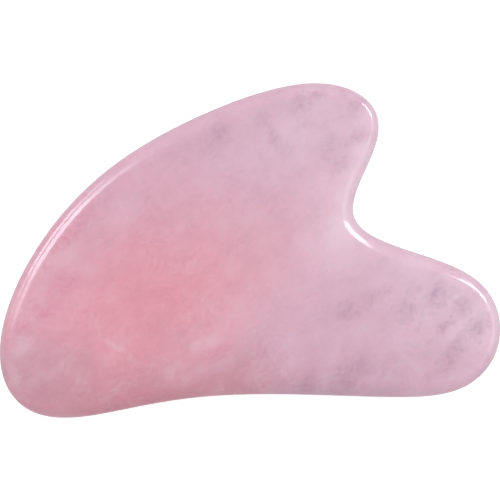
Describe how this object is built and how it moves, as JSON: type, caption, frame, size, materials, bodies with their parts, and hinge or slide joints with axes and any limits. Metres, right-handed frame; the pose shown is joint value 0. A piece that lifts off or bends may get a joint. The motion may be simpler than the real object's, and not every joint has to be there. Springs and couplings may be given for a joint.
{
  "type": "gua sha scraper",
  "caption": "Flat palm-sized scraper of polished stone with a round toe, a bowed edge, a hollow edge and two blunt horns parted by a notch, drawn over the skin in facial massage.",
  "frame": {"origin": "on the plane of the flat back, under the centre of the stone's bounding box", "axes": "+X from the round toe to the heel horn, +Y towards the side of the crown horn, +Z out of the face"},
  "size_m": [0.085, 0.0568, 0.006],
  "materials": {
    "rose_quartz": "polished, milky and slightly translucent"
  },
  "bodies": {
    "root": {"scraper_stone": "rose_quartz"}
  },
  "joints": []
}
